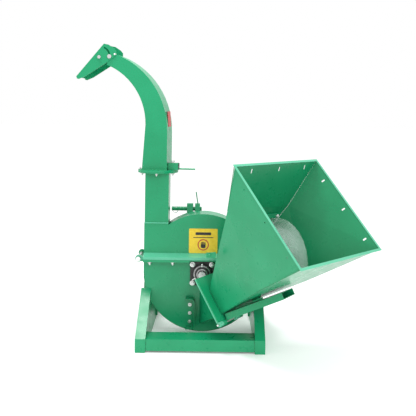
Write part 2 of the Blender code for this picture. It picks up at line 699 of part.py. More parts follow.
def is_up(points, normal):
    return (points[1] - points[0]).cross(points[-1] - points[0]).dot(normal) > 0


# ---------------------------------------------------------------- rotor, bearings and bed knife
def make_rotor():
    shaft = add("rotor_shaft", cylinder((0.0, ROTOR_Z), SHAFT_R, -0.062, 0.200, 32), ROTOR, STEEL,
                True)
    join(shaft, "pto_stub", cylinder((0.0, ROTOR_Z), 0.0174, 0.190, 0.300, 24))
    disc = add("rotor_disc", cylinder((0.0, ROTOR_Z), DISC_R, *DISC_Y, 64), ROTOR, STEEL, True)
    cut(disc, "disc_bore", cylinder((0.0, ROTOR_Z), SHAFT_R + GAP, 0.0, 0.06, 32))
    hub = add("rotor_hub", cylinder((0.0, ROTOR_Z), 0.058, DISC_Y[1] + GAP, 0.112, 32), ROTOR, CAST,
              True)
    cut(hub, "hub_bore", cylinder((0.0, ROTOR_Z), SHAFT_R + GAP, 0.0, 0.15, 32))
    for i in range(4):
        turn = Matrix.Rotation(math.radians(20 + 90 * i), 4, "Y")
        centre = Vector((0.0, 0.0, ROTOR_Z))
        moved = Matrix.Translation(centre) @ turn @ Matrix.Translation(-centre)
        slot = box((0.085, 0.0, ROTOR_Z + 0.012), (0.280, 0.06, ROTOR_Z + 0.030))
        bmesh.ops.transform(slot, matrix=moved, verts=slot.verts)
        cut(disc, f"disc_slot_{i}", slot)
        knife = prism([(0.080, ROTOR_Z - 0.058), (0.285, ROTOR_Z - 0.058),
                       (0.285, ROTOR_Z + 0.012), (0.080, ROTOR_Z + 0.012)], *KNIFE_Y)
        bmesh.ops.transform(knife, matrix=moved, verts=knife.verts)
        add(f"chipper_knife_{i + 1}", knife, ROTOR, STEEL)
        paddle = box((0.0585, PADDLE_Y[0], ROTOR_Z + 0.034), (0.296, PADDLE_Y[1], ROTOR_Z + 0.040))
        bmesh.ops.transform(paddle, matrix=moved, verts=paddle.verts)
        add(f"fan_paddle_{i + 1}", paddle, ROTOR, STEEL)


def make_bearing(name, face, away):
    """Square four-bolt flange bearing with a stepped round housing and its bolt heads."""
    half, corner = 0.0655, 0.012
    outline = []
    for sx, sz, start in ((1, 1, 0), (-1, 1, 90), (-1, -1, 180), (1, -1, 270)):
        outline += circle(sx * (half - corner), ROTOR_Z + sz * (half - corner), corner, 4,
                          math.radians(start), math.pi / 2, closed=False)
    face += away * GAP
    plate = add(name, prism(outline, face, face + away * 0.016), FRAME, CAST)
    join(plate, name + "_boss", cylinder((0.0, ROTOR_Z), 0.050, face + away * 0.010,
                                         face + away * 0.032, 40))
    join(plate, name + "_collar", cylinder((0.0, ROTOR_Z), 0.034, face + away * 0.020,
                                           face + away * 0.044, 32))
    for sx in (-1, 1):
        for sz in (-1, 1):
            head = hexagon((sx * 0.0525, ROTOR_Z + sz * 0.0505), 0.024, face + away * 0.012,
                           face + away * 0.026)
            join(plate, f"{name}_bolt_{sx}_{sz}", head)
    cut(plate, name + "_bore", cylinder((0.0, ROTOR_Z), SHAFT_R + GAP, face - 0.1, face + 0.1))


def make_bed_knife():
    knife_x = (-0.046, -0.0105)
    add("bed_knife", box((knife_x[0], SHEET + GAP, 0.085), (knife_x[1], 0.0090, 0.245)), FRAME,
        STEEL)
    plate = [(-0.088, 0.2155), (-0.054, 0.2155), (-0.043, 0.209), (-0.038, 0.198), (-0.038, 0.070),
             (-0.043, 0.058), (-0.054, 0.0515), (-0.088, 0.0515), (-0.088, 0.056), (-0.055, 0.056),
             (-0.047, 0.0605), (-0.0425, 0.071), (-0.0425, 0.197), (-0.047, 0.206),
             (-0.055, 0.211), (-0.088, 0.211)]
    add("bed_knife_bracket", prism(plate, -0.046, -GAP), FRAME, GREEN)


# ---------------------------------------------------------------- tractor hitch
def make_hitch():
    rear = HOUSING_DEPTH + GAP
    for side in (-1, 1):
        name = "left" if side < 0 else "right"
        x = side * INNER_HALF
        inner, outer = sorted((x, x - side * HITCH_T))
        outline = [(0.300, 0.020), (0.480, 0.020), (0.560, 0.150), (0.560, 0.215), (0.520, 0.240),
                   (0.300, 0.140)]
        add(f"hitch_plate_{name}", prism(outline, inner, outer, "X"), FRAME, GREEN)
    for side in (-1, 1):
        name = "left" if side < 0 else "right"
        plate = bpy.data.objects[f"hitch_plate_{name}"]
        hole = cylinder(LINK_PIN, LINK_PIN_R + 0.0005, -0.5, 0.5, 20, "X")
        cut(plate, f"pin_hole_{name}", hole)
        x0 = side * (HALF_BASE - SKID_WIDTH - 0.030)
        x1 = side * (HALF_BASE + LINK_PIN_REACH)
        low, high = sorted((x0, x1))
        add(f"lower_link_pin_{name}", cylinder(LINK_PIN, LINK_PIN_R, low, high, 20, "X"), FRAME,
            ZINC, True)
    mast_front, mast_foot = 0.1652, SPLIT_Z - 0.013
    mast = add("top_link_mast",
               prism([(mast_front, mast_foot), (0.200, mast_foot), (0.235, 0.640), (0.235, 0.690),
                      (0.222, 0.703), (0.180, 0.703), (mast_front, 0.640)], -0.097, -0.022, "X"),
               FRAME, GREEN)
    cut(mast, "mast_gap", box((-0.062, 0.145, 0.480), (-0.050, 0.30, 0.80)))
    cut(mast, "mast_eye", cylinder(TOP_PIN, TOP_PIN_R + 0.0005, -0.3, 0.1, 20, "X"))
    add("top_link_pin", cylinder(TOP_PIN, TOP_PIN_R, -0.186, -0.012, 20, "X"), FRAME, GREEN, True)
    guard_in_r, skirt = GUARD_R - THIN, ROTOR_Z - 0.06
    guard_out = circle(0.0, ROTOR_Z, GUARD_R, 20, 0.0, math.pi, closed=False)
    guard_in = circle(0.0, ROTOR_Z, guard_in_r, 20, 0.0, math.pi, closed=False)
    outline = ([(GUARD_R, skirt)] + guard_out + [(-GUARD_R, skirt), (-guard_in_r, skirt)]
               + list(reversed(guard_in)) + [(guard_in_r, skirt)])
    guard_front, guard_rear = 0.2400, 0.3800
    guard = add("pto_guard", prism(outline, guard_front, guard_rear), FRAME, GREEN)
    for side in (-1, 1):
        low, high = sorted((side * (guard_in_r + 0.0005), side * (GUARD_R + 0.012)))
        join(guard, f"guard_foot_{side}", box((low, rear, ROTOR_Z - 0.055),
                                              (high, guard_front + 0.030, ROTOR_Z + 0.010)))


# ---------------------------------------------------------------- the whole machine
def make_hopper_hinge():
    """Pin along the flange's lower edge; the hopper turns down on it for access."""
    line = flange_point(0.0, FLANGE_HEIGHT + 0.012, 0.003)
    turn = F_ACROSS.to_track_quat("Z", "Y").to_matrix().to_4x4()
    place = Matrix.Translation(line) @ turn
    radius_pin = 0.0050

    def round_piece(radius, start, end):
        data = cylinder((0.0, 0.0), radius, start, end, 20, "Z")
        bmesh.ops.transform(data, matrix=place, verts=data.verts)
        return data

    add("hopper_hinge_pin", round_piece(radius_pin, -0.012, FLANGE_WIDTH + 0.004), FRAME, ZINC,
        True)
    for name, spans in (("throat_flange", ((0.002, 0.030), (0.150, 0.185))),
                        ("hopper_flange", ((0.0305, 0.062), (0.1855, 0.215)))):
        plate = bpy.data.objects[name]
        for index, (start, end) in enumerate(spans):
            join(plate, f"{name}_knuckle_{index}", round_piece(0.0125, start, end))
        cut(plate, f"{name}_pin_bore", round_piece(radius_pin + 0.0004, -0.03, 0.3))
    clear = 0.0134
    for name, spans in (("throat_flange", ((0.0301, 0.0624), (0.1851, 0.2154))),
                        ("hopper_flange", ((0.0016, 0.0304), (0.1496, 0.1854)))):
        plate = bpy.data.objects[name]
        for index, (start, end) in enumerate(spans):
            cut(plate, f"{name}_relief_{index}", round_piece(clear, start, end))


for which in (-1, 1):
    make_skid(which)
make_beam("front_cross_beam", SKID_FRONT + 0.004, 0.115, INNER_HALF)
make_beam("rear_cross_beam", SKID_REAR - 0.060, 0.055, INNER_HALF - HITCH_T - GAP)
make_lower_housing()
make_split_flanges()
make_upper_housing()
make_chute()
make_deflector()
clear_ear_holes()
make_throat()
make_hopper()
make_hopper_stiffener()
make_curtain()
make_hopper_hinge()
make_rotor()
make_bearing("front_bearing", 0.0, -1)
make_bearing("rear_bearing", HOUSING_DEPTH, 1)
make_bed_knife()
make_hitch()
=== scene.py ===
"""Looks of the three-point-hitch wood chipper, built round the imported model."""
import json
import math

import bmesh
import bpy
from mathutils import Matrix, Vector


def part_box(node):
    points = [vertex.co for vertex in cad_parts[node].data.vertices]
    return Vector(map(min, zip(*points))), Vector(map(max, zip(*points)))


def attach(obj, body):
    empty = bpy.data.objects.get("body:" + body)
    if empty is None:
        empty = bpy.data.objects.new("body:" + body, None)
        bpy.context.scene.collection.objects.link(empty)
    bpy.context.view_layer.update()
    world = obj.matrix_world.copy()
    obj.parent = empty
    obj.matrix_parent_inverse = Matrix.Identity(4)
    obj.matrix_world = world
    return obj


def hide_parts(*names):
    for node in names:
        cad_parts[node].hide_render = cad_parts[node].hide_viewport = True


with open("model.json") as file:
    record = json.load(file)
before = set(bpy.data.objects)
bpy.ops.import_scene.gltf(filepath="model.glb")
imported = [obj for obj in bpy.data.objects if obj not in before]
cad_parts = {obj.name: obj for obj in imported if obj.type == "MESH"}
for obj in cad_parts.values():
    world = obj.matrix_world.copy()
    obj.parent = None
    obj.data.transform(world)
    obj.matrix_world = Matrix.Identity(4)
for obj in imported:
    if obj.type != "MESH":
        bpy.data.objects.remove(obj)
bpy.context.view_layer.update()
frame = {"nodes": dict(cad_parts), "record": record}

# ------------------------------------------------------------ places, in metres
SHAFT_LOW, SHAFT_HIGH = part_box("rotor_shaft")
FRONT_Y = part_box("lower_front_plate")[0].y
ORIGIN = Vector(((SHAFT_LOW.x + SHAFT_HIGH.x) / 2, FRONT_Y, 0.0))
HOUSING_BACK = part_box("lower_back_plate")[1].y - FRONT_Y
SPLIT_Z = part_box("upper_front_plate")[0].z
CHUTE_TURN = math.radians(-8)
SWIVEL = Vector((-0.255, HOUSING_BACK / 2, 0.900))
CURTAIN_RUN = Vector((0.6943, 0.7191, -0.0289)).normalized()
CURTAIN_NORMAL = Vector((0.6416, -0.6367, -0.4278)).normalized()
MOUTH_CENTRE = Vector((0.535, -0.348, 0.7585))
MOUTH_SIZE = (0.660, 0.591)
MOUTH_YAW, MOUTH_TILT = math.radians(45.3), math.radians(43.4)
FLANGE_CORNER = Vector((-0.031, -0.200, 0.363))
FLANGE_YAW, FLANGE_TILT = math.radians(56.4), math.radians(35.2)
FLANGE_SIZE = (0.222, 0.245)
UP, FRONT, RIGHT = Vector((0, 0, 1)), Vector((0, -1, 0)), Vector((1, 0, 0))

# Rotor axis, housing rim and the rows of bolts on the housing.
AXIS_Z, RIM_RADIUS = 0.350, 0.32
BED_BOLT_X, BED_BOLT_HEIGHTS = -0.0655, (0.1735, 0.1280, 0.0805)
FRONT_SPLIT_BOLTS = (-0.285, -0.160, 0.105)
REAR_SPLIT_BOLTS = FRONT_SPLIT_BOLTS + (0.255,)
BEARING_BOLT_X, BEARING_BOLT_Z, BEARING_FACE = 0.0525, 0.0505, 0.0266
BEHIND_BACK_PLATE = HOUSING_BACK + 0.070

# The chute's tube and elbow, and the two flanges that turn on each other.
TUBE_LEFT, TUBE_RIGHT, TUBE_FOOT_Z = -0.320, -0.190, 0.6207
ELBOW_LEFT, ELBOW_RIGHT = -0.333, -0.193
SWIVEL_UNDERSIDE, SWIVEL_TOP = SWIVEL.z - 0.0056, SWIVEL.z + 0.0110
SWIVEL_BOLTS, SWIVEL_BOLT_REACH = 6, 0.098

# The hopper's throat flange bolts and the curtain.
FLANGE_SIDE_GAP, FLANGE_TOP_GAP, FLANGE_LOW_GAP, FLANGE_BACK = 0.028, 0.030, 0.055, 0.0062
SCREW_PLACES = (-0.170, -0.057, 0.057, 0.170)
CURTAIN_COLUMNS, CURTAIN_FINER = 40, 4
CURTAIN_WAVE, CURTAIN_THICKNESS = 0.0022, 0.002

# The label, and the light and camera settings.
LABEL_X, LABEL_Z, LABEL_FACE = 0.0035, 0.5245, -0.0003
LIGHTS = (("key", (1.6, -3.4, 2.8), (0, 0, 0.6), 2.4, 62.0),
          ("top", (-0.85, 0.0, 3.2), (-0.6, 0.0, 0.0), 1.0, 55.0))
CAMERA, CAMERA_ROLL = Vector((0.075, -3.575, 1.2183)), math.radians(0.8)
LENS, SENSOR = 56.25, 36.0
FRAMING_SHIFT = (-0.02404, -0.22356)


def at(x, y, z):
    """A point given from the rotor axis, the housing's front face and the ground."""
    return ORIGIN + Vector((x, y, z))


def tilted_axes(yaw, tilt):
    """Across, down and outward directions of a plane turned and leaned back."""
    across = Vector((math.cos(yaw), math.sin(yaw), 0.0))
    normal = Vector((math.sin(yaw) * math.cos(tilt), -math.cos(yaw) * math.cos(tilt),
                     math.sin(tilt)))
    return across, across.cross(normal), normal


M_ACROSS, M_DOWN, M_NORMAL = tilted_axes(MOUTH_YAW, MOUTH_TILT)
F_ACROSS, F_DOWN, F_NORMAL = tilted_axes(FLANGE_YAW, FLANGE_TILT)


def on_chute(x, y, z):
    """A point drawn on the unturned chute, swung to where the chute stands."""
    turn = Matrix.Rotation(CHUTE_TURN, 4, "Z")
    return ORIGIN + SWIVEL + turn @ (Vector((x, y, z)) - SWIVEL)


# ------------------------------------------------------------ materials
class Nodes:
    """A small builder for a Principled material's node tree."""

    def __init__(self, name, roughness, metallic=0.0):
        self.material = bpy.data.materials.new(name)
        self.material.use_nodes = True
        self.tree = self.material.node_tree
        self.shader = self.tree.nodes["Principled BSDF"]
        self.set("Roughness", roughness)
        self.set("Metallic", metallic)
        self.place = self.tree.nodes.new("ShaderNodeTexCoord").outputs["Object"]

    def set(self, socket, value):
        self.shader.inputs[socket].default_value = value

    def noise(self, scale, detail=3.0, stretch=None):
        node = self.tree.nodes.new("ShaderNodeTexNoise")
        node.inputs["Scale"].default_value = scale
        node.inputs["Detail"].default_value = detail
        source = self.place
        if stretch:
            mapping = self.tree.nodes.new("ShaderNodeMapping")
            mapping.inputs["Scale"].default_value = stretch
            self.tree.links.new(source, mapping.inputs["Vector"])
            source = mapping.outputs["Vector"]
        self.tree.links.new(source, node.inputs["Vector"])
        return node.outputs["Fac"]

    def ramp(self, source, stops):
        node = self.tree.nodes.new("ShaderNodeValToRGB")
        self.tree.links.new(source, node.inputs["Fac"])
        for element, (position, colour) in zip(node.color_ramp.elements, stops):
            element.position = position
            element.color = (*colour, 1.0)
        return node.outputs["Color"]

    def link(self, source, socket):
        self.tree.links.new(source, self.shader.inputs[socket])

    def bump(self, source, strength, distance):
        node = self.tree.nodes.new("ShaderNodeBump")
        node.inputs["Strength"].default_value = strength
        node.inputs["Distance"].default_value = distance
        self.tree.links.new(source, node.inputs["Height"])
        self.link(node.outputs["Normal"], "Normal")


def grey(value):
    return (value, value, value)


def gloss_paint(name, dark, light, roughness=0.30, peel=0.04):
    """Powder coat: slow colour drift, orange peel, uneven gloss and a clear top layer."""
    made = Nodes(name, roughness)
    made.link(made.ramp(made.noise(5.0), ((0.35, dark), (0.65, light))), "Base Color")
    gloss = made.noise(22.0)
    made.link(made.ramp(gloss, ((0.3, grey(roughness - 0.05)), (0.7, grey(roughness + 0.07)))),
              "Roughness")
    made.bump(made.noise(160.0, 2.0), peel, 0.0006)
    made.set("Specular IOR Level", 0.36)
    made.set("Coat Weight", 0.10)
    made.set("Coat Roughness", 0.16)
    return made.material


def metal(name, dark, light, roughness, stretch=(1, 1, 1), scale=90.0, depth=0.2):
    made = Nodes(name, roughness, 1.0)
    grain = made.noise(scale, 4.0, stretch)
    made.link(made.ramp(grain, ((0.3, dark), (0.7, light))), "Base Color")
    made.link(made.ramp(grain, ((0.3, grey(roughness)), (0.7, grey(roughness + 0.15)))),
              "Roughness")
    made.bump(grain, depth, 0.0004)
    return made.material


def plain(name, dark, light, roughness, scale=60.0, depth=0.1, metallic=0.0):
    made = Nodes(name, roughness, metallic)
    speck = made.noise(scale)
    made.link(made.ramp(speck, ((0.35, dark), (0.65, light))), "Base Color")
    made.bump(speck, depth, 0.0005)
    return made.material


def clear_sheet():
    """Clear PVC: mostly see-through, milky in streaks, shiny."""
    made = Nodes("clear_pvc_look", 0.08)
    haze = made.noise(9.0, 3.0, (1.0, 1.0, 0.4))
    made.link(made.ramp(haze, ((0.3, grey(0.10)), (0.75, grey(0.34)))), "Alpha")
    made.set("Base Color", (0.80, 0.92, 0.88, 1.0))
    made.set("IOR", 1.52)
    made.set("Coat Weight", 0.6)
    made.bump(made.noise(14.0), 0.12, 0.002)
    return made.material


GREEN = gloss_paint("green_powder_coat", (0.006, 0.268, 0.112), (0.008, 0.298, 0.128))
# Painted shade: the same green paint made darker, for parts that sit in shade.
PAINTED_SHADE_GREEN = gloss_paint("painted_shade_green", (0.004, 0.205, 0.082), (0.006, 0.235, 0.096))
# Painted highlight: the same green paint made lighter, for edges and flanges where reflections fall.
PAINTED_HIGHLIGHT_GREEN = gloss_paint("painted_highlight_green", (0.080, 0.430, 0.260), (0.110, 0.480, 0.300), 0.2)
WELD = plain("painted_weld", (0.010, 0.200, 0.080), (0.018, 0.300, 0.125), 0.38, 260.0, 0.5)
STEEL = metal("ground_steel", grey(0.48), grey(0.66), 0.24, (1, 1, 14))
ZINC = metal("zinc_plate_look", (0.60, 0.61, 0.62), (0.78, 0.78, 0.76), 0.28)
CAST = plain("black_casting", grey(0.018), grey(0.045), 0.42, 150.0, 0.5, 0.35)
DARK_STEEL = metal("worn_bearing_steel", grey(0.22), grey(0.42), 0.34)
PVC = clear_sheet()
YELLOW = plain("yellow_label", (0.78, 0.52, 0.015), (0.86, 0.60, 0.03), 0.42)
BLACK = plain("black_print", grey(0.012), grey(0.022), 0.5)
RED = plain("red_print", (0.42, 0.018, 0.012), (0.52, 0.03, 0.02), 0.4)
WHITE = plain("white_fitting", grey(0.72), grey(0.82), 0.35)

# Parts painted with the lighter green as a highlight.
PAINTED_HIGHLIGHT_NODES = ("throat_flange", "upper_split_flange_front")
# Parts painted with the darker green as shade.
PAINTED_SHADE_NODES = ("hopper_far_plate", "hopper_top_plate", "bed_knife_bracket")
NODE_EDGE, FOLD_ANGLE, EDGE_ANGLE, NODE_SHARP_ANGLE = 0.0009, 6, 32, 34
SLOT_LOOKS = {"green_paint": GREEN, "steel": STEEL, "zinc": ZINC, "cast_iron": CAST,
              "clear_pvc": PVC}


def dress_nodes():
    """Gives every CAD piece its look and a small rolled edge."""
    slots = {row["node"]: row["material_slot"] for row in frame["record"]["subparts"]}
    for name, thing in frame["nodes"].items():
        look = SLOT_LOOKS[slots[name]]
        # Painted shade: these parts get the darker copy of the green in place of their own paint.
        if name in PAINTED_SHADE_NODES:
            look = PAINTED_SHADE_GREEN
        # Painted highlight: these parts get the lighter copy of the green in place of their own paint.
        if name in PAINTED_HIGHLIGHT_NODES:
            look = PAINTED_HIGHLIGHT_GREEN
        if not thing.data.materials:
            thing.data.materials.append(look)
        for index in range(len(thing.data.materials)):
            thing.data.materials[index] = look
        edge = thing.modifiers.new("rolled_edge", "BEVEL")
        edge.width = NODE_EDGE
        edge.segments = 2
        edge.limit_method = "ANGLE"
        folded = name.startswith("hopper_")
        edge.angle_limit = math.radians(FOLD_ANGLE if folded else EDGE_ANGLE)
        if folded:
            thing.data.shade_flat()
        else:
            thing.data.shade_smooth()
            thing.data.set_sharp_from_angle(angle=math.radians(NODE_SHARP_ANGLE))


# ------------------------------------------------------------ piece helpers
def finish_piece(name, data, material, body, smooth=True, edge=0.0):
    """Turns built geometry into a named piece that moves with its body."""
    bmesh.ops.recalc_face_normals(data, faces=data.faces)
    mesh = bpy.data.meshes.new(name)
    data.to_mesh(mesh)
    data.free()
    mesh.materials.append(material)
    if smooth:
        mesh.shade_smooth()
        mesh.set_sharp_from_angle(angle=math.radians(36))
    piece = bpy.data.objects.new(name, mesh)
    bpy.context.scene.collection.objects.link(piece)
    if edge:
        bevel = piece.modifiers.new("edge", "BEVEL")
        bevel.width = edge
        bevel.segments = 2
    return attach(piece, body)


def frame_of(normal):
    """A rotation that takes +Z to the given direction."""
    return normal.to_track_quat("Z", "Y").to_matrix().to_4x4()


def turned(data, profile, centre, normal, steps=28, turn=0.0):
    """Adds a solid of revolution: (radius, height) points along a direction from a centre."""
    place = Matrix.Translation(centre) @ frame_of(normal) @ Matrix.Rotation(turn, 4, "Z")
    rings = []
    for radius, height in profile:
        rings.append([data.verts.new(place @ Vector((radius * math.cos(2 * math.pi * i / steps),
                                                     radius * math.sin(2 * math.pi * i / steps),
                                                     height))) for i in range(steps)])
    for a, b in zip(rings, rings[1:]):
        for i in range(steps):
            j = (i + 1) % steps
            data.faces.new((a[i], a[j], b[j], b[i]))
    data.faces.new(list(reversed(rings[0])))
    data.faces.new(rings[-1])


def hex_bolt(name, centre, normal, flats, body, material=None, washer=True, turn=0.2, stud=0.0):
    """Hexagon head with a chamfered crown, a washer under it and an optional thread end."""
    data = bmesh.new()
    base = 0.0
    if washer:
        turned(data, ((flats * 0.88, 0.0), (flats * 0.90, 0.0004), (flats * 0.90, 0.0016),
                      (flats * 0.86, 0.0020)), centre, normal)
        base = 0.0020
    corner = flats / math.sqrt(3)
    tall = flats * 0.58
    turned(data, ((corner * 0.97, base), (corner, base + 0.0004), (corner, base + tall * 0.84),
                  (corner * 0.86, base + tall)), centre, normal, 6, turn)
    if stud:
        radius = flats * 0.29
        turned(data, ((radius, base + tall * 0.9), (radius, base + tall + stud),
                      (radius * 0.8, base + tall + stud + 0.001)), centre, normal, 20)
    return finish_piece(name, data, material or ZINC, body)


def plate(name, corners, thickness, normal, material, body, edge=0.0006):
    """A thin plate from a loop of world points."""
    data = bmesh.new()
    near = [data.verts.new(p) for p in corners]
    far = [data.verts.new(p + normal * thickness) for p in corners]
    data.faces.new(near)
    data.faces.new(list(reversed(far)))
    for i in range(len(corners)):
        j = (i + 1) % len(corners)
        data.faces.new((near[i], far[i], far[j], near[j]))
    return finish_piece(name, data, material, body, edge=edge)


def tube(name, points, radius, material, body, ripple=0.0, pitch=0.004, closed=False, steps=10):
    """A round bar along points; a ripple turns it into a stack of weld scales."""
    path = []
    for a, b in zip(points, points[1:] + points[:1] if closed else points[1:]):
        count = max(1, int((b - a).length / pitch)) if ripple else 1
        path += [a.lerp(b, i / count) for i in range(count)]
    if not closed:
        path.append(points[-1])
    data = bmesh.new()
    rings = []
    for i, p in enumerate(path):
        after = path[(i + 1) % len(path)] if closed else path[min(i + 1, len(path) - 1)]
        before = path[i - 1] if closed or i else path[0]
        place = frame_of((after - before).normalized())
        size = radius * (1 + ripple * (1 if i % 2 else -1))
        rings.append([data.verts.new(p + place @ Vector((size * math.cos(2 * math.pi * k / steps),
                                                         size * math.sin(2 * math.pi * k / steps),
                                                         0.0))) for k in range(steps)])
    pairs = list(zip(rings, rings[1:]))
    if closed:
        pairs.append((rings[-1], rings[0]))
    for a, b in pairs:
        for k in range(steps):
            m = (k + 1) % steps
            data.faces.new((a[k], a[m], b[m], b[k]))
    if not closed:
        data.faces.new(list(reversed(rings[0])))
        data.faces.new(rings[-1])
    return finish_piece(name, data, material, body)


def weld(name, points, body, radius=0.0026, closed=False):
    return tube(name, points, radius, WELD, body, ripple=0.10, closed=closed, steps=8)


# ------------------------------------------------------------ label and print
def rounded(cx, cz, width, height, radius, y, steps=5):
    """The outline of a rounded rectangle that faces the front."""
    loop = []
    for sx, sz, start in ((1, 1, 0), (-1, 1, 90), (-1, -1, 180), (1, -1, 270)):
        for i in range(steps + 1):
            angle = math.radians(start + 90 * i / steps)
            loop.append(at(cx + sx * (width / 2 - radius) + radius * math.cos(angle), y,
                           cz + sz * (height / 2 - radius) + radius * math.sin(angle)))
    return loop


def printed(name, outline, material, thickness=0.0003):
    """A flat patch of print on the upper housing's front."""
    plate(name, outline, thickness, FRONT, material, "upper_housing", 0.0)


def printed_disc(name, radius, x, y, z, thickness, material):
    data = bmesh.new()
    turned(data, ((radius, 0.0), (radius, thickness)), at(x, y, z), FRONT, 40)
    finish_piece(name, data, material, "upper_housing", smooth=False)


def make_label():
    """Plain yellow plate: blank heading bar, a rule, a red ring with a plain hand."""
    ink = LABEL_FACE - 0.0010
    over = ink - 0.0009
    printed("label_plate", rounded(LABEL_X, LABEL_Z, 0.157, 0.135, 0.006, LABEL_FACE), YELLOW, 0.0009)
    printed("label_heading", rounded(LABEL_X, LABEL_Z + 0.040, 0.086, 0.015, 0.003, ink), BLACK)
    printed("label_rule", rounded(LABEL_X, LABEL_Z + 0.019, 0.112, 0.004, 0.001, ink), BLACK)
    ring_z = LABEL_Z - 0.021
    printed_disc("label_ring", 0.0310, LABEL_X, ink, ring_z, 0.0004, RED)
    printed_disc("label_ring_field", 0.0255, LABEL_X, ink - 0.0005, ring_z, 0.0003, YELLOW)
    printed("label_palm", rounded(LABEL_X, ring_z - 0.008, 0.026, 0.020, 0.007, over), BLACK)
    for i in range(4):
        finger_x = LABEL_X - 0.0100 + 0.0067 * i
        finger_z = ring_z + 0.006 + 0.002 * (i in (1, 2))
        printed(f"label_finger_{i}", rounded(finger_x, finger_z, 0.0048, 0.018, 0.0022, over), BLACK)


def make_red_strip():
    """Plain red strip on the side of the chute's elbow."""
    corners = ((-0.1931, 0.030, 1.150), (-0.1931, 0.100, 1.150), (-0.1990, 0.100, 1.235),
               (-0.1990, 0.030, 1.235))
    plate("chute_red_strip", [on_chute(*corner) for corner in corners], 0.0009, RIGHT, RED,
          "chute", 0.0)


# ------------------------------------------------------------ base and housing fittings
def make_shoulder_edge():
    """Plate edge where the chute's tube meets the housing's front, in the lighter green that paints a
    highlight on it.
    """
    left, right, front, half = TUBE_LEFT - 0.0015, TUBE_RIGHT + 0.0010, -0.0008, 0.003
    plate("shoulder_edge", [at(left, front, TUBE_FOOT_Z - half), at(right, front, TUBE_FOOT_Z - half),
                            at(right, front, TUBE_FOOT_Z + half), at(left, front, TUBE_FOOT_Z + half)],
          0.0030, FRONT, PAINTED_HIGHLIGHT_GREEN, "upper_housing")


def make_base_welds():
    """A bead up each end of the front beam where it meets a skid."""
    beam_low, beam_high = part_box("front_cross_beam")
    for side, node in ((-1, "skid_left"), (1, "skid_right")):
        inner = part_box(node)[1].x if side < 0 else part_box(node)[0].x
        x = inner - side * 0.0006
        weld(f"beam_weld_{node}", [Vector((x, beam_low.y, beam_low.z + 0.004)),
                                   Vector((x, beam_low.y, beam_high.z)),
                                   Vector((x, beam_high.y, beam_high.z))], "frame")


def make_bed_knife_bolts():
    for index, z in enumerate(BED_BOLT_HEIGHTS):
        hex_bolt(f"bed_knife_bolt_{index}", at(BED_BOLT_X, -0.0004, z), FRONT, 0.011, "frame",
                 turn=0.1 * index, stud=0.004)


def make_split_bolts():
    """Bolt heads under the flanges where the housing splits, front and rear."""
    lower = SPLIT_Z - 0.0138
    for index, x in enumerate(FRONT_SPLIT_BOLTS):
        hex_bolt(f"split_bolt_{index}", at(x, -0.034, lower), -UP, 0.017, "frame", stud=0.005)
    for index, x in enumerate(REAR_SPLIT_BOLTS):
        hex_bolt(f"rear_split_bolt_{index}", at(x, HOUSING_BACK + 0.024, lower), -UP, 0.017,
                 "frame", stud=0.005)


def turned_piece(name, profile, centre, normal, material, steps=28):
    data = bmesh.new()
    turned(data, profile, centre, normal, steps)
    finish_piece(name, data, material, "frame")


def make_white_fittings():
    """The cap on the housing's hinge pin and the bearing's grease nipple."""
    turned_piece("hinge_pin_cap", ((0.0125, 0.0), (0.0130, 0.001), (0.0130, 0.005),
                                   (0.0105, 0.008), (0.0040, 0.0095)),
                 at(-0.349, -0.0362, SPLIT_Z), FRONT, WHITE)
    turned_piece("grease_nipple", ((0.0045, -0.006), (0.0045, 0.0), (0.0032, 0.002),
                                   (0.0032, 0.006), (0.0046, 0.009), (0.0020, 0.012)),
                 at(0.000, -0.046, 0.398), (UP + FRONT * 0.6).normalized(), WHITE, 16)


def make_bearing_trim():
    """Plated bolts over the casting's bosses and worn rings round the collar."""
    for index, (sx, sz) in enumerate(((-1, -1), (-1, 1), (1, -1), (1, 1))):
        spot = at(sx * BEARING_BOLT_X, -BEARING_FACE, AXIS_Z + sz * BEARING_BOLT_Z)
        hex_bolt(f"bearing_bolt_{index}", spot, FRONT, 0.016, "frame", turn=0.3 * index, stud=0.004)
    for index, (radius, depth, look) in enumerate(((0.0465, 0.0326, DARK_STEEL),
                                                   (0.0400, 0.0334, CAST),
                                                   (0.0305, 0.0446, DARK_STEEL),
                                                   (0.0240, 0.0470, CAST))):
        turned_piece(f"bearing_ring_{index}", ((radius, 0.0), (radius, 0.0016),
                                               (radius - 0.0012, 0.0024)),
                     at(0.0, -depth, AXIS_Z), FRONT, look, 40)


def make_clip_and_rear_parts():
    """A small clip below the bearing, and the rod and ring behind the housing."""
    tube("wing_clip", [at(-0.052, -0.050, 0.322), at(-0.040, -0.053, 0.330),
                       at(-0.028, -0.053, 0.322), at(-0.020, -0.050, 0.312)], 0.0030, WHITE,
         "frame")
    tube("mast_rod", [at(x, BEHIND_BACK_PLATE, z) for x, z in (
        (-0.034, 0.700), (-0.040, 0.735), (-0.045, 0.770))], 0.0032, GREEN, "frame")
    radius, points = 0.016, 16
    ring = [at(-0.165 + radius * math.cos(a * 2 * math.pi / points), BEHIND_BACK_PLATE + 0.001,
               0.664 + radius * math.sin(a * 2 * math.pi / points)) for a in range(points)]
    tube("lynch_ring", ring, 0.0020, ZINC, "frame", closed=True)


def make_rim_weld():
    """A bead along the lower half of the rim, on the front plate."""
    angles = [math.radians(180 + 6 * i) for i in range(31)]
    rim = [at(-RIM_RADIUS * math.cos(a), -0.0006, AXIS_Z + RIM_RADIUS * math.sin(a)) for a in angles]
    weld("lower_rim_weld", rim, "frame", 0.0016)


def make_housing_fittings():
    make_bed_knife_bolts()
    make_split_bolts()
    make_white_fittings()
    make_bearing_trim()
    make_clip_and_rear_parts()
    make_rim_weld()


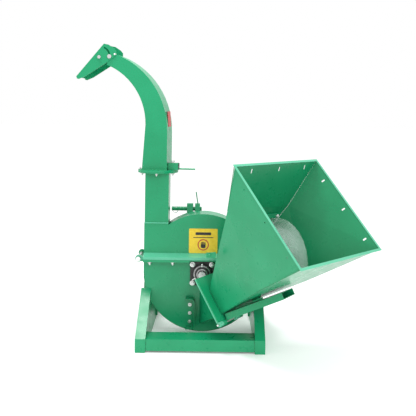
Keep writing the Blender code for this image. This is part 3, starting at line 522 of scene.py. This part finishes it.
def make_tube_welds():
    """Closed beads round the chute tube's foot and under its flange."""
    for name, z, radius in (("tube_base_weld", TUBE_FOOT_Z, 0.0024),
                            ("tube_top_weld", SWIVEL_UNDERSIDE, 0.0022)):
        weld(name, [at(TUBE_LEFT, 0.0, z), at(TUBE_RIGHT, 0.0, z), at(TUBE_RIGHT, HOUSING_BACK, z),
                    at(TUBE_LEFT, HOUSING_BACK, z)], "upper_housing", radius, closed=True)


def make_swivel_bolts():
    for index in range(SWIVEL_BOLTS):
        angle = math.radians(30 + 360 / SWIVEL_BOLTS * index)
        spot = at(SWIVEL.x + SWIVEL_BOLT_REACH * math.cos(angle),
                  SWIVEL.y + SWIVEL_BOLT_REACH * math.sin(angle), SWIVEL_UNDERSIDE)
        hex_bolt(f"swivel_bolt_{index}", spot, -UP, 0.013, "upper_housing", stud=0.004)


def make_elbow_fittings():
    """The bead round the elbow's foot, its stop bolt, the lock box's end and the edge bolt."""
    corners = [on_chute(x, y, SWIVEL_TOP) for x, y in (
        (ELBOW_LEFT, 0.0), (ELBOW_RIGHT, 0.0), (ELBOW_RIGHT, HOUSING_BACK),
        (ELBOW_LEFT, HOUSING_BACK))]
    weld("elbow_weld", corners, "chute", 0.0024, closed=True)
    hex_bolt("flange_stop_bolt", on_chute(-0.355, 0.045, SWIVEL_TOP), UP, 0.010, "chute",
             stud=0.004)
    plate("lock_box_end", [on_chute(-0.1336, y, z) for y, z in (
        (0.024, 0.914), (0.056, 0.914), (0.056, 0.948), (0.024, 0.948))], 0.0012, RIGHT, BLACK,
        "chute")
    hex_bolt("deflector_edge_bolt", on_chute(-0.4955, -0.0006, 1.548), FRONT, 0.010, "chute",
             material=WHITE)


# ------------------------------------------------------------ hopper fittings
def mouth_point(across, down, out=0.0):
    return ORIGIN + MOUTH_CENTRE + M_ACROSS * across + M_DOWN * down + M_NORMAL * out


def make_hopper_lip():
    """The folded edge all round the mouth, one closed ring of flat bar, in the lighter green that
    paints a highlight on it.
    """
    half, drop = MOUTH_SIZE[0] / 2, MOUTH_SIZE[1] / 2
    rings = []
    for grow, out in ((-0.0065, 0.0006), (-0.0065, 0.0032), (0.0075, 0.0032), (0.0075, 0.0006)):
        rings.append([mouth_point(sx * (half + grow), sy * (drop + grow), out)
                      for sx, sy in ((-1, -1), (1, -1), (1, 1), (-1, 1))])
    data = bmesh.new()
    rows = [[data.verts.new(p) for p in ring] for ring in rings]
    for k in range(len(rows)):
        a, b = rows[k], rows[(k + 1) % len(rows)]
        for i in range(4):
            j = (i + 1) % 4
            data.faces.new((a[i], a[j], b[j], b[i]))
    finish_piece("hopper_mouth_lip", data, PAINTED_HIGHLIGHT_GREEN, "hopper", edge=0.0007)


def make_hopper_fittings():
    """The throat flange's nuts, the seams, the clamp tab and the curtain's screws."""
    across, down = FLANGE_SIZE
    left, right = FLANGE_SIDE_GAP, across - FLANGE_SIDE_GAP
    top, low = FLANGE_TOP_GAP, down - FLANGE_LOW_GAP
    for index, (a, d) in enumerate(((left, top), (right, top), (left, low), (right, low))):
        spot = ORIGIN + FLANGE_CORNER + F_ACROSS * a + F_DOWN * d - F_NORMAL * FLANGE_BACK
        hex_bolt(f"throat_flange_nut_{index}", spot, -F_NORMAL, 0.015, "frame", stud=0.005)
    make_hopper_seams()
    make_clamp_tab()
    strip_low, strip_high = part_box("curtain_clamp_strip")
    middle = (strip_low + strip_high) / 2 + CURTAIN_NORMAL * 0.0022
    for index, along in enumerate(SCREW_PLACES):
        hex_bolt(f"curtain_screw_{index}", middle + CURTAIN_RUN * along, CURTAIN_NORMAL, 0.010,
                 "hopper", material=WHITE)


def make_clamp_tab():
    """Small tab and bolt beside the near plate, toward the housing."""
    spot = ORIGIN + Vector((0.055, -0.300, 0.512))
    plate("clamp_tab", [spot + Vector((x, 0, z)) for x, z in (
        (-0.030, -0.012), (0.018, -0.016), (0.018, 0.016), (-0.030, 0.012))], 0.004, FRONT, GREEN,
        "hopper")
    hex_bolt("clamp_tab_bolt", spot + Vector((-0.014, -0.004, 0.0)), FRONT, 0.011, "hopper",
             material=GREEN)


def make_hopper_seams():
    """Weld beads down the corners that face the feed side."""
    near_bend = ORIGIN + Vector((0.130, -0.370, 0.745))
    near_low = ORIGIN + Vector((0.286, -0.502, 0.394))
    outward = -M_ACROSS * 0.0024
    weld("near_top_seam", [mouth_point(-MOUTH_SIZE[0] / 2, -MOUTH_SIZE[1] / 2) + outward,
                           near_bend + outward], "hopper", 0.0018)
    weld("near_low_seam", [mouth_point(-MOUTH_SIZE[0] / 2, MOUTH_SIZE[1] / 2) + outward,
                           near_low + outward], "hopper", 0.0018)


# ------------------------------------------------------------ curtain
def middle_line(points, middle):
    """The line halfway through the sheet's thickness along its edge, from the top down."""
    edge = []
    for p in points:
        if (p - middle).dot(CURTAIN_RUN) < 0 and all((p - q).length > 0.0001 for q in edge):
            edge.append(p)
    edge.sort(key=lambda p: (middle - p).dot(UP) * 2 + (p - middle).dot(FRONT))
    line = []
    while len(edge) > 1:
        first = edge.pop(0)
        twin = min(edge, key=lambda q: (q - first).length)
        edge.remove(twin)
        line.append((first + twin) / 2)
    return line


def make_curtain():
    """Clear sheet laid on the curtain's solid: its middle surface, softly waved."""
    points = [v.co.copy() for v in frame["nodes"]["feed_curtain"].data.vertices]
    middle = sum(points, Vector()) / len(points)
    line = middle_line(points, middle)
    width = max((p - middle).dot(CURTAIN_RUN) for p in points) * 2
    fine = [a.lerp(b, i / CURTAIN_FINER) for a, b in zip(line, line[1:])
            for i in range(CURTAIN_FINER)] + [line[-1]]
    data = bmesh.new()
    rows = []
    for k, p in enumerate(fine):
        share = k / (len(fine) - 1)
        row = []
        for i in range(CURTAIN_COLUMNS + 1):
            u = i / CURTAIN_COLUMNS
            wave = CURTAIN_WAVE * share * math.sin(u * 11.0 + share * 3.0)
            row.append(data.verts.new(p + CURTAIN_RUN * width * u + M_NORMAL * wave))
        rows.append(row)
    for a, b in zip(rows, rows[1:]):
        for i in range(CURTAIN_COLUMNS):
            data.faces.new((a[i], a[i + 1], b[i + 1], b[i]))
    sheet = finish_piece("curtain_sheet", data, PVC, "curtain")
    solidify = sheet.modifiers.new("thickness", "SOLIDIFY")
    solidify.thickness = CURTAIN_THICKNESS
    solidify.offset = 0.0
    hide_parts("feed_curtain")


# ------------------------------------------------------------ floor, lights and camera
def make_stage():
    """A wide pale floor with a little light of its own."""
    data = bmesh.new()
    size = 60.0
    corners = [data.verts.new(Vector((x * size, y * size, 0.0)))
               for x, y in ((-1, -1), (1, -1), (1, 1), (-1, 1))]
    data.faces.new(corners)
    mesh = bpy.data.meshes.new("floor")
    data.to_mesh(mesh)
    data.free()
    look = plain("floor_look", grey(0.90), grey(0.92), 0.9, 3.0, 0.0)
    shader = look.node_tree.nodes["Principled BSDF"]
    shader.inputs["Emission Color"].default_value = (1.0, 1.0, 1.0, 1.0)
    shader.inputs["Emission Strength"].default_value = 0.16
    shader.inputs["Specular IOR Level"].default_value = 0.0
    mesh.materials.append(look)
    floor = bpy.data.objects.new("floor", mesh)
    bpy.context.scene.collection.objects.link(floor)


def area_light(name, place, aim, size, power):
    light = bpy.data.lights.new(name, "AREA")
    light.size = size
    light.energy = power
    lamp = bpy.data.objects.new(name, light)
    lamp.location = place
    lamp.rotation_euler = (Vector(aim) - Vector(place)).to_track_quat("-Z", "Y").to_euler()
    bpy.context.scene.collection.objects.link(lamp)


def make_lights():
    world = bpy.data.worlds.new("studio")
    bpy.context.scene.world = world
    world.use_nodes = True
    background = world.node_tree.nodes["Background"]
    background.inputs["Color"].default_value = (1.0, 1.0, 1.0, 1.0)
    background.inputs["Strength"].default_value = 1.0
    for settings in LIGHTS:
        area_light(*settings)


def make_camera():
    scene = bpy.context.scene
    lens = bpy.data.cameras.new("camera")
    lens.lens = LENS
    lens.sensor_width = SENSOR
    lens.shift_x, lens.shift_y = FRAMING_SHIFT
    camera = bpy.data.objects.new("camera", lens)
    camera.matrix_world = (Matrix.Translation(ORIGIN + CAMERA)
                           @ Matrix.Rotation(math.radians(90), 4, "X")
                           @ Matrix.Rotation(CAMERA_ROLL, 4, "Z"))
    scene.collection.objects.link(camera)
    scene.camera = camera
    lens.clip_end = 200.0
    scene.view_settings.view_transform = "Standard"
    scene.view_settings.look = "None"


# ------------------------------------------------------------ the whole object
make_label()
make_red_strip()
make_shoulder_edge()
make_base_welds()
make_housing_fittings()
make_tube_welds()
make_swivel_bolts()
make_elbow_fittings()
make_hopper_lip()
make_hopper_fittings()
dress_nodes()
make_curtain()
make_stage()
make_lights()
make_camera()
